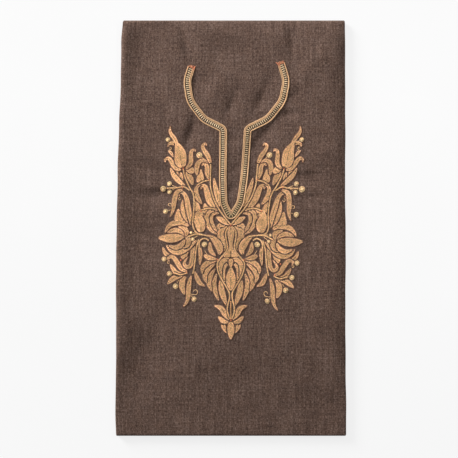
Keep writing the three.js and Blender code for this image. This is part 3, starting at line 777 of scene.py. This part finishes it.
def make_frayed_ends(line):
    threads = []
    share = np.linspace(0, 1, FRAY_POINTS)[:, None]
    for end, out in [(line[0], line[0] - line[1]), (line[-1], line[-1] - line[-2])]:
        out = out / np.linalg.norm(out)
        side = np.array([-out[1], out[0]])
        for _ in range(FRAY_COUNT):
            across = rng.uniform(*FRAY_ACROSS)
            reach = rng.uniform(*FRAY_SHARE) * FRAY_REACH
            bend = rng.normal(0, FRAY_BEND)
            path = end + side * (across + bend * share**2) + out * (reach * share - FRAY_START)
            lift = FRAY_LIFT + FRAY_WAVE * np.sin(share[:, 0] * 3 + across)
            radius = rng.uniform(*FRAY_R)
            tone = [rng.uniform(*FRAY_TINT), rng.uniform(*FRAY_BRIGHT)]
            threads.append(thread(path, lift, side, radius, tone, sides=FRAY_SIDES))
    return braid_piece("braid_frayed_ends", threads, CORD)


# ---- embroidery: one half of the field, mirrored about the neck's axis ----
# A leaf, petal or plume: its width, the share along where it is widest, its spine from the root, and
# whether it grows into the one listed before it.
def plume_table(rows):
    return table("width crest spine joined", rows, defaults=[False])


PLUMES = plume_table([
    # bud at the upper corner
    (23.5, 0.36, [(102, 119), (107, 133), (109, 150), (118, 171)]),
    (7.5, 0.4, [(113, 162), (121, 177), (130, 190), (130, 203)], True),
    (8, 0.3, [(112, 163), (122, 168), (131, 167), (134, 160)], True),
    (5.5, 0.6, [(121, 139), (128, 150), (133, 153)]),
    (8.5, 0.42, [(104, 114), (116, 118), (124, 129), (131, 138), (138, 135), (137, 129)]),
    (8.5, 0.42, [(97, 116), (87, 127), (87, 143), (86, 152), (80, 155), (78, 150)]),
    (13, 0.75, [(97, 115), (88, 112), (79, 116)]),
    (9.5, 0.5, [(94, 81), (108, 92), (120, 105), (127, 119)]),
    (8, 0.7, [(110, 97), (116, 113)]),
    (6.5, 0.6, [(101, 88), (106, 110)]),
    (11, 0.5, [(97, 111), (87, 100), (80, 84)]),
    # great arch
    (9.5, 0.42, [(98, 76), (111, 70), (115, 54), (116, 36), (121, 20)]),
    (10, 0.42, [(79, 3), (82, 22), (87, 42), (92, 60), (100, 70), (107, 67), (105, 61)]),
    (9, 0.45, [(84, 9), (94, 28), (98, 44), (97, 58)]),
    (17, 0.2, [(103, 12), (106, 37)]),
    # column beside the braid
    (8.5, 0.35, [(47, 127), (53, 142), (62, 155), (64, 163), (59, 167), (55, 161)]),
    (9.5, 0.6, [(51, 128), (62, 134), (71, 129), (74, 118), (73, 103)]),
    (8.5, 0.5, [(47, 92), (53, 108), (54, 121), (60, 127), (65, 122)]),
    (15, 0.2, [(66, 89), (66, 116)]),
    (9.5, 0.55, [(63, 85), (72, 80), (72, 66), (66, 55), (59, 46)]),
    (11.5, 0.45, [(31, 34), (45, 53), (51, 70), (56, 82), (63, 82), (62, 75)]),
    (10, 0.45, [(24, 40), (29, 60), (35, 80), (39, 99)]),
    (13, 0.2, [(68, 32), (71, 54)]),
    (20, 0.85, [(36, 36), (44, 38), (57, 38)]),
    # paisley and nested arches
    (20.5, 0.36, [(59, -10), (61, 6), (65, 19), (62, 28), (56, 28), (54, 22)]),
    (8.5, 0.5, [(26, 34), (40, 33), (48, 23), (47, 8), (39, -6), (27, -14)]),
    (8.5, 0.5, [(23, 28), (36, 27), (40, 16), (36, 4), (27, -9)]),
    (10.5, 0.5, [(2, 5), (15, 13), (29, 21)]),
    (8, 0.35, [(11, 4), (20, 5), (27, -1), (25, -6)]),
    # side flower
    (10.5, 0.45, [(83, 1), (93, 8.5), (104, 10), (119, 6), (127, -2), (131.5, -11)]),
    (9, 0.45, [(90, -18), (88, -8), (94, -1), (105, 1.5)]),
    (9, 0.5, [(93, -15), (102, -7.5), (113, -5.5), (127, -10)], True),
    (17, 0.5, [(92, -18), (119, -21.5), (145, -20.5)]),
    (9.5, 0.45, [(92, -23), (96, -32), (103, -38), (113, -40), (124, -36)]),
    (10.5, 0.45, [(90, -17), (84.5, -25), (87, -35), (96, -41)]),
    (11, 0.5, [(67, -25), (80, -36), (93, -45), (106, -49.5), (119, -46), (129, -35)]),
    # lower spray
    (8.5, 0.4, [(72, -31), (76, -45), (77, -61), (80, -75), (87, -79), (93, -73), (90, -65), (84, -58)]),
    (12, 0.75, [(81, -44), (98, -62)]),
    (9, 0.45, [(86, -88), (98, -83), (106, -71), (113, -61), (119, -58), (125, -62), (122, -69)]),
    (7.5, 0.4, [(119, -58), (130, -52), (136, -39)]),
    (7.5, 0.45, [(64, -33), (60.5, -52), (62, -75)]),
    (8.5, 0.5, [(72, -87), (67, -101), (61, -111), (51, -117)]),
    (8.5, 0.5, [(93, -93), (107, -91), (114, -84), (121, -73)]),
    (10, 0.5, [(94, -95), (107, -98), (116, -103), (127, -113)]),
    (11.5, 0.45, [(89, -97), (96, -106), (97, -119), (92, -134)]),
    (9, 0.45, [(78, -95), (82, -107), (84, -123), (85, -138), (88, -149), (95, -158)]),
    # fan of leaves below the spiral
    (14.5, 0.62, [(50, -15), (39, -19), (28, -30), (22, -43), (24, -55)]),
    (8.5, 0.5, [(42, -29), (40, -46), (30, -57)]),
    (9.5, 0.6, [(27, -63), (41, -61), (54, -55)]),
    (9.5, 0.5, [(28, -66), (45, -70), (56, -80), (57, -93)]),
    (9.5, 0.55, [(30, -71), (45, -83), (52, -96), (48, -111)]),
    (9.5, 0.55, [(30, -80), (39, -94), (44, -110), (38, -127)]),
    (9, 0.5, [(28, -91), (33, -110), (31, -127), (24, -146)]),
    (11.5, 0.45, [(21, -104), (18.5, -124), (14, -140), (8, -156)]),
    # petals and lobes inside the double stem
    (12, 0.4, [(4, 4), (16, -1), (21, -14), (16.5, -27), (12, -38), (14.5, -51)]),
    (9, 0.35, [(1, -65), (10, -64), (18.5, -71), (21, -84), (17.5, -99)]),
    (9.5, 0.42, [(1, -70), (11, -74), (16, -85), (15, -97), (11, -109)]),
    # calyx over the pendant
    (10, 0.5, [(3, -184), (12, -173), (19, -161), (33, -155)]),
    (8.5, 0.5, [(4, -189), (14, -187), (20, -182), (25, -177)]),
    (8.5, 0.4, [(8, -190), (15, -194), (12, -203), (8, -210)]),
])
# The vase in the middle swells, narrows to a neck and flares: shares of its length and width.
VASE = table("along swell", [
    (0, 0), (0.05, 0.26), (0.12, 0.42), (0.22, 0.46), (0.36, 0.36), (0.5, 0.24),
    (0.64, 0.22), (0.76, 0.36), (0.88, 0.72), (0.95, 1.0), (0.98, 0.8), (1, 0),
])
AXIS_PLUMES = plume_table([
    (30, "vase", [(0, 2), (0, -60)]),
    (9, 0.35, [(0, -62), (0, -80)], True),
    (19, 0.55, [(0, -78), (0, -126)]),
    (14, 0.4, [(0, -187), (0, -223)]),
])
# Stems, each as two lines of stitches.
STEMS = [
    [(101, 116), (97, 101), (87, 81), (78, 66), (75, 45), (75, 22), (76, 6), (70, -9), (55, -15),
     (35, -18)],
    [(136, 78), (112, 79), (98, 81), (86, 74)],
    [(47, 126), (46, 104), (45, 83), (38, 60), (26, 38), (12, 20), (0.6, 6)],
    [(48, 94), (60, 91), (72, 84)],
    [(85, -18), (70, -14), (55, -15)],
    [(64, -24), (69, -42), (71, -62), (73, -80), (76, -92)],
    [(1, 2), (8, -4), (10.5, -13), (9, -26), (7, -38), (9.5, -48), (18.5, -59), (26.5, -70), (26, -84),
     (20, -100), (11, -115), (3.4, -129), (2.8, -141), (6, -154), (7, -166), (2.4, -182)],
    [(0, -146), (0, -182)],
    [(62, 34), (46, 38), (30, 36)],
    [(86, -90), (100, -94), (113, -90)],
    [(63, -41), (63, -31), (59, -24), (51, -22), (44, -26)],
]
# Thin stalks, each as one line.
STALKS = [
    [(127, 86), (112, 80)], [(126, 72), (112, 79)], [(70, 144), (60, 136), (50, 130)],
    [(131, 32), (117, 36)], [(133, 175), (120, 168)], [(79, -10), (68, -12)],
    [(76, -22), (66, -17)], [(133, -63), (122, -60)], [(122, -92), (108, -92)],
    [(110, -116), (104, -105)], [(73, -141), (82, -133)], [(75.5, -134), (84, -130)],
    [(52, -46), (47, -54)],
]
BERRIES = table("x y radius", [
    (134, 175, 4.5), (139, 77, 5.8), (127, 87, 4.8), (126, 71, 4.6), (131, 32, 5),
    (70, 144, 6), (79.5, -10.5, 3.2), (76, -23.5, 3.8), (52.5, -34, 5.4), (133, -63, 5),
    (122.5, -92, 5), (110, -117, 5.3), (73, -142.5, 5),
])
# Curled tips: middle, first and last radius, start angle and sweep in degrees.
CURLS = table("x y radius last start sweep", [
    (124, 45, 4.2, 2.0, 230, -330),
    (71, -128, 6.4, 3.0, -50, -300),
    (124, -70, 3.2, 1.2, 90, -300),
    (129, 157, 3.4, 1.4, 60, 280),
    (104, 57, 3.6, 1.6, 90, -280),
])
# Small knots where stems meet; a tint of 1 makes them red.
KNOTS = [
    (101, 117), (48, 95), (100, 80), (60, 33), (0, 4), (88, -88), (26, -64), (0, -184), (99.5, -65),
]
PLUME_FULLNESS = 0.7
SPINE_POINTS = 41
ROW_GAP = 1.12
FIRST_ROW = 0.55
PLUME_GAP = 2.7  # from one plume's edge to the middle of its neighbour's nearest stitch
LINE_GAP = 0.9  # the same for stems and curls
STEM_OFFSET = 0.65
STEM_CLEAR = 3  # from a stem's middle to the middle of the nearest stitch beside it
OUTLINE_OUT = 0.55  # from a plume's edge to the dark outline thread round it, which also paints shade between plumes
OUTLINE_TRIM = 0.1  # that thread is left out this near to other plumes
STITCH_HEIGHT = 0.95
TINT_SPREAD = 0.22
BRIGHT_SPREAD = 0.20
BRIGHT_RANGE = (0.4, 1.6)
PLUME_SPREAD = 0.05

# How a row is worked: tint (0 plain, 1 warm) and brightness of its thread, and each stitch's width,
# length and lift off the cloth.
Style = namedtuple("Style", "tint bright width pitch lift", defaults=[1.22, 2.3, 0.0])
EDGE_ROW = Style(0.75, 1.1)
FILL_ROW = Style(0.2, 1)
# The dark row round each plume is partly painted shade in the gaps between plumes.
OUTLINE_AND_SHADE_ROW = Style(0.2, 1.0, 1.35, 2.6)
STEM = Style(0.5, 1.15, 1.3, 2.1, 0.2)
STALK = Style(0.5, 1.1, 1.2, 2.0)
CURL = Style(0.5, 1.15, 1.2, 1.9)
BERRY_RING = Style(0.12, 0.95, 1.22, 1.9)
# A painted highlight: short rows of pale, brighter stitches across the top of each berry.
PAINTED_GLINT = Style(0.0, 1.5, 1.9, 2.6, 0.9)
KNOT = Style(1.0, 0.9, 1.7, 2.6, 0.5)
BERRY_CORE = 0.4
BERRY_DOME = 0.8
RING_POINTS = 24
PAINTED_GLINT_ROWS = (-0.6, 0.8)
KNOT_ROWS = (-0.9, 0.9)
SHORT_HALF = 1.3
CURL_POINTS = 30

# One chain stitch: share along, share across, share of height at each of its points.
LINK_POINTS = np.array([
    (0.0, 0.0, 0.45), (0.22, -0.5, 0.1), (0.22, 0.5, 0.1),
    (0.5, -0.26, 1.0), (0.5, 0.26, 1.0), (0.45, 0.0, 0.6),
    (0.85, -0.46, 0.1), (0.85, 0.46, 0.1), (1.16, 0.0, 0.8),
])
LINK_FACES = np.array([
    (0, 5, 3), (0, 4, 5), (5, 8, 3), (5, 4, 8),
    (0, 3, 1), (3, 6, 1), (3, 8, 6),
    (0, 2, 4), (4, 2, 7), (4, 7, 8),
    (0, 1, 2), (1, 6, 2), (2, 6, 7), (6, 8, 7),
])


class Stitches:
    """A list of stitches: start, step, width, lift, tint and brightness."""

    def __init__(self):
        self.parts = []

    def row(self, path, side, style, blocked=()):
        """Stitches along a path of the half drawing, but none inside a blocked outline."""
        points = placed(path, side)
        if run_of(points)[-1] < style.pitch / 2:
            return
        knots = resample(points, style.pitch)
        starts, steps = knots[:-1], np.diff(knots, axis=0)
        keep = np.ones(len(starts), bool)
        for outline in blocked:
            keep &= ~inside(outline, starts + steps / 2)
        count = keep.sum()
        if count == 0:
            return
        tint = np.clip(style.tint + rng.normal(0, TINT_SPREAD, count), 0, 1)
        bright = style.bright * np.clip(rng.normal(1, BRIGHT_SPREAD, count), *BRIGHT_RANGE)
        size = np.tile([style.width, style.lift], (count, 1))
        self.parts.append(np.column_stack([starts[keep], steps[keep], size, tint, bright]))

    def mesh(self, name, material):
        rows = np.vstack(self.parts)
        start, step, width, lift, tone = np.split(rows, [2, 4, 5, 6], axis=1)
        side = leftward(step) / np.linalg.norm(step, axis=1, keepdims=True)
        along, across, up = LINK_POINTS.T
        flat = start[:, None] + step[:, None] * along[:, None]
        flat = flat - side[:, None] * across[:, None] * width[:, None]
        base = face_at(flat[..., 0], flat[..., 1]) + lift
        z = base + CLEAR + up * STITCH_HEIGHT
        points = np.dstack([flat, z]).reshape(-1, 3)
        offsets = np.arange(len(rows)) * len(LINK_POINTS)
        faces = (LINK_FACES + offsets[:, None, None]).reshape(-1, 3)
        tone = np.repeat(tone, len(LINK_POINTS), axis=0)
        return make_mesh(name, points, faces, material, "neck_embroidery", tone=tone)


def inside(outline, points):
    """Whether each point lies inside a closed outline, by counting crossings."""
    apart = (points.max(axis=0) < outline.min(axis=0)) | (points.min(axis=0) > outline.max(axis=0))
    if apart.any():
        return np.zeros(len(points), bool)
    x, y = points[:, :1], points[:, 1:]
    (x0, y0), (x1, y1) = outline.T, np.roll(outline, -1, axis=0).T
    rise = np.where(y1 == y0, TINY, y1 - y0)
    at = x0 + (y - y0) * (x1 - x0) / rise
    return (((y0 > y) != (y1 > y)) & (x < at)).sum(axis=1) % 2 == 1


def plume_spine(plume):
    """Midrib points, their leftward directions and the half width there."""
    path = smooth_path(plume.spine)
    path = resample(path, run_of(path)[-1] / (SPINE_POINTS - 1))
    share = np.linspace(0, 1, len(path))
    if plume.crest == "vase":
        swell = np.interp(share, *zip(*VASE))
    else:
        bent = share ** (log(0.5) / log(plume.crest))
        swell = np.sin(pi * bent).clip(0) ** PLUME_FULLNESS
    return path, leftward(along_of(path)), plume.width / 2 * swell


def ribbon(path, half):
    """Outline of a band along a path, with half its width."""
    reach = leftward(along_of(path)) * half
    return np.vstack([path + reach, (path - reach)[::-1]])


def plume_outline(plume, grow):
    middle, _, half = plume_spine(plume)
    return ribbon(middle, (half + grow)[:, None])


# The right half hangs a little lower at its outer side and is drawn in by a hair.
SAG = 8
SAG_NEAR = 45
SAG_FAR = 100
SAG_TOP = 95
SAG_LOW = 10
DRAWN_IN = 1.2


def placed(points, side):
    """From the half drawing to the cloth: mirrored for side -1, sagging for side 1."""
    x, y = points[:, 0], points[:, 1]
    if side > 0:
        outer = ease(SAG_NEAR, SAG_FAR, x)
        x = x - DRAWN_IN * outer
        y = y - SAG * outer * (1 - ease(SAG_LOW, SAG_TOP, y))
    return np.stack([side * x + lean_at(y), y], axis=1)


def polar(centre, radius, angle):
    """Points round the x and y of a berry or a curl."""
    return np.column_stack([centre.x + radius * np.cos(angle), centre.y + radius * np.sin(angle)])


def circle(centre, radius, count):
    return polar(centre, radius, np.linspace(0, 2 * pi, count, endpoint=False))


def short_rows(stitches, x, y, side, style, ups):
    """Short rows of stitches, one above the other."""
    for up in ups:
        stitches.row(np.array([[x - SHORT_HALF, y + up], [x + SHORT_HALF, y + up]]), side, style)


def outline_and_shade_plume(stitches, plume, side, blocked):
    """A dark rust-brown thread round the plume, just outside its first row; it is also painted shade in
    the gaps between plumes.
    """
    middle, left, half = plume_spine(plume)
    wide = (half + OUTLINE_OUT)[:, None]
    for way in (1, -1):
        stitches.row(middle + way * left * wide, side, OUTLINE_AND_SHADE_ROW, blocked)


def fill_plume(stitches, plume, side, blocked):
    """Rows along both edges, one inside the other, and the last along the middle."""
    middle, left, half = plume_spine(plume)
    bright = rng.normal(1, PLUME_SPREAD)
    style = EDGE_ROW
    inset = FIRST_ROW
    while inset < half.max():
        keep = half > inset
        last = half.max() - inset < ROW_GAP / 2
        for way in (0,) if last else (1, -1):
            row = middle[keep] + way * left[keep] * (half - inset)[keep][:, None]
            stitches.row(row, side, style._replace(bright=bright * style.bright), blocked)
        if last:
            break
        style = FILL_ROW
        inset += ROW_GAP


def fill_berry(stitches, berry, side):
    """Rings that rise to a dome, and a painted highlight across its top: short rows of brighter
    stitches.
    """
    radius = berry.radius - FIRST_ROW
    while radius > BERRY_CORE:
        ring = circle(berry, radius, RING_POINTS)
        dome = BERRY_DOME * (1 - (radius / berry.radius) ** 2)
        stitches.row(np.vstack([ring, ring[:1]]), side, BERRY_RING._replace(lift=dome))
        radius -= ROW_GAP
    short_rows(stitches, berry.x, berry.y, side, PAINTED_GLINT, PAINTED_GLINT_ROWS)


PATH_STEP = 1
SPAN_POINTS = 8


def smooth_path(points):
    """A Catmull-Rom curve through the points."""
    points = np.array(points, float)
    ends = np.vstack([2 * points[0] - points[1], points, 2 * points[-1] - points[-2]])
    share = np.linspace(0, 1, SPAN_POINTS, endpoint=False)[:, None]
    found = []
    for a, b, c, d in zip(ends, ends[1:], ends[2:], ends[3:]):
        curve = 2 * b + (c - a) * share + (2 * a - 5 * b + 4 * c - d) * share**2
        found.append((curve + (3 * b - a - 3 * c + d) * share**3) / 2)
    return resample(np.vstack([*found, points[-1:]]), PATH_STEP)


def curl_path(curl):
    share = np.linspace(0, 1, CURL_POINTS)
    angle = np.radians(curl.start + curl.sweep * share)
    radius = curl.radius + (curl.last - curl.radius) * share
    return polar(curl, radius, angle)


def stitch_lines(lines, side, blocked):
    """Double stems, thin stalks and curls of one half."""
    for stem in STEMS:
        path = smooth_path(stem)
        left = leftward(along_of(path))
        for way in (STEM_OFFSET, -STEM_OFFSET):
            lines.row(path + left * way, side, STEM, blocked)
    for stalk in STALKS:
        lines.row(smooth_path(stalk), side, STALK, blocked)
    for curl in CURLS:
        lines.row(curl_path(curl), side, CURL, blocked)


BRAID_HALF = 8.3  # half the braid's width and a little clearance
BRAID_OUTLINE = ribbon(braid_line(2.0), BRAID_HALF)
BERRY_POINTS = 20


def plume_areas(plumes, grow, side):
    return [placed(plume_outline(plume, grow), side) for plume in plumes]


def stem_areas(half, side):
    return [placed(ribbon(smooth_path(stem), half), side) for stem in STEMS]


def work_half(side, fill, lines, outlines_and_shade, beads):
    """All stitches of one half: plumes, the dark rows round them (thread, and painted shade between
    plumes), stems and curls, berries and knots.
    """
    kept = [BRAID_OUTLINE]
    kept += [placed(circle(berry, berry.radius + LINE_GAP, BERRY_POINTS), side) for berry in BERRIES]
    taken = kept + plume_areas(AXIS_PLUMES, PLUME_GAP, side) + stem_areas(STEM_CLEAR, side)
    for plume in PLUMES:
        fill_plume(fill, plume, side, taken[:-1] if plume.joined else taken)
        taken += plume_areas([plume], PLUME_GAP, side)
    plumes = [*PLUMES, *AXIS_PLUMES]
    filled = plume_areas(plumes, OUTLINE_TRIM, side) + stem_areas(STEM_OFFSET + LINE_GAP, side)
    for plume in plumes:
        outline_and_shade_plume(outlines_and_shade, plume, side, kept + filled)
    stitch_lines(lines, side, kept + plume_areas(AXIS_PLUMES, LINE_GAP, side))
    for berry in BERRIES:
        fill_berry(beads, berry, side)
    for x, y in KNOTS:
        short_rows(beads, x, y, side, KNOT, KNOT_ROWS)


EMBROIDERY = [
    ("right", THREAD),
    ("left", THREAD),
    ("stems", STEM_THREAD),
    # dark outline thread, partly painted shade between plumes
    ("outlines_and_shade", OUTLINE_AND_SHADE_THREAD),
    ("berries", BERRY_THREAD),
]


def make_embroidery():
    works = [Stitches() for _ in EMBROIDERY]
    right, left, *shared = works
    for plume in AXIS_PLUMES:
        fill_plume(right, plume, 1, [BRAID_OUTLINE])
    work_half(1, right, *shared)
    work_half(-1, left, *shared)
    made = zip(works, EMBROIDERY)
    return [stitches.mesh("embroidery_" + name, material) for stitches, (name, material) in made]


# ---- floor, lights and camera ----
IMAGE_PX = 458
MM_PER_PX = 2
SENSOR_MM = 36
CAMERA_AWAY = 1.9
CAMERA_ELEVATION = 89
AIM = Vector((-0.0037, -0.003, 0.008))  # what the middle of the frame looks at


def make_camera():
    data = bpy.data.cameras.new("camera")
    camera = link("camera", data)
    data.sensor_width = SENSOR_MM
    data.lens = SENSOR_MM * CAMERA_AWAY / (IMAGE_PX * MM_PER_PX * MM)
    tilt = radians(CAMERA_ELEVATION)
    camera.location = AIM + Vector((0, -cos(tilt), sin(tilt))) * CAMERA_AWAY
    camera.rotation_euler = (pi / 2 - tilt, 0, 0)
    scene.camera = camera
    scene.view_settings.view_transform = "Standard"


FLOOR_M = 8
FLOOR_DROP = 0.0005
FLOOR_GRAIN = ((3, 3, 3), 2, 0.5)
FLOOR_TONES = [(0, (0.10,) * 3), (1, (0.12,) * 3)]
FLOOR_GLOW = 0.82
WHITE = (1, 1, 1, 1)
FLOOR_FINISH = Finish(0.9, 0, 0.5, WHITE, 0.2)
WORLD_LIGHT = 0.11
HORIZON_LIGHT = 0.94  # a pale band round the horizon, behind the floor's far edge
HORIZON_LOW = 0.10
HORIZON_HIGH = 0.26
LIGHTS = table("name azimuth elevation away size watts", [
    ("key", 138, 21, 6.0, 2.0, 760),
    ("fill", 32, 54, 1.2, 0.5, 4.8),
])


def make_floor():
    bpy.ops.mesh.primitive_plane_add(size=FLOOR_M)
    floor = bpy.context.active_object
    floor.name = "floor"
    floor.location.z = -FLOOR_DROP
    shader = new_material("pale_floor")
    place = shader.add("TexCoord").outputs["Object"]
    grain = shader.noise(place, FLOOR_GRAIN)
    shader.end("Base Color", shader.ramp(grain, FLOOR_TONES))
    shader.end("Emission Color", WHITE)
    shader.end("Emission Strength", FLOOR_GLOW)
    floor.data.materials.append(shader.finish(FLOOR_FINISH))


def area_light(row):
    """A soft square light; azimuth is from +X towards +Y."""
    data = bpy.data.lights.new(row.name, "AREA")
    data.size = row.size
    data.energy = row.watts
    light = link(row.name, data)
    azimuth, elevation = radians(row.azimuth), radians(row.elevation)
    level = cos(elevation)
    way = Vector((level * cos(azimuth), level * sin(azimuth), sin(elevation)))
    light.location = way * row.away
    light.rotation_euler = way.to_track_quat("Z", "Y").to_euler()


def make_world():
    """Faint even light from above, and the pale band round the horizon."""
    scene.world = scene.world or bpy.data.worlds.new("studio")
    sky = Shader(scene.world, "Background")
    sky.end("Color", WHITE)
    way = sky.add("TexCoord").outputs["Generated"]
    fade = sky.add("MapRange", {
        "Value": sky.add("SeparateXYZ", {0: way}).outputs["Z"],
        "From Min": HORIZON_LOW,
        "From Max": HORIZON_HIGH,
        "To Min": HORIZON_LIGHT,
        "To Max": WORLD_LIGHT,
    })
    sky.end("Strength", fade.outputs[0])


make_camera()
make_floor()
make_world()
for row in LIGHTS:
    area_light(row)

cloth = shell("cloth_length", cloth_rows(ROLL), cloth_rows(ROLL - PLY), "wool", WOOL, "cloth")
middle = make_middle_strip()
end_plies = [make_end_ply(1), make_end_ply(2)]
line = braid_line(1.0)[LEFT_END_TRIM:]
braid = [make_tape(line), make_cords(line), make_bars(line), make_frayed_ends(line)]
embroidery = make_embroidery()
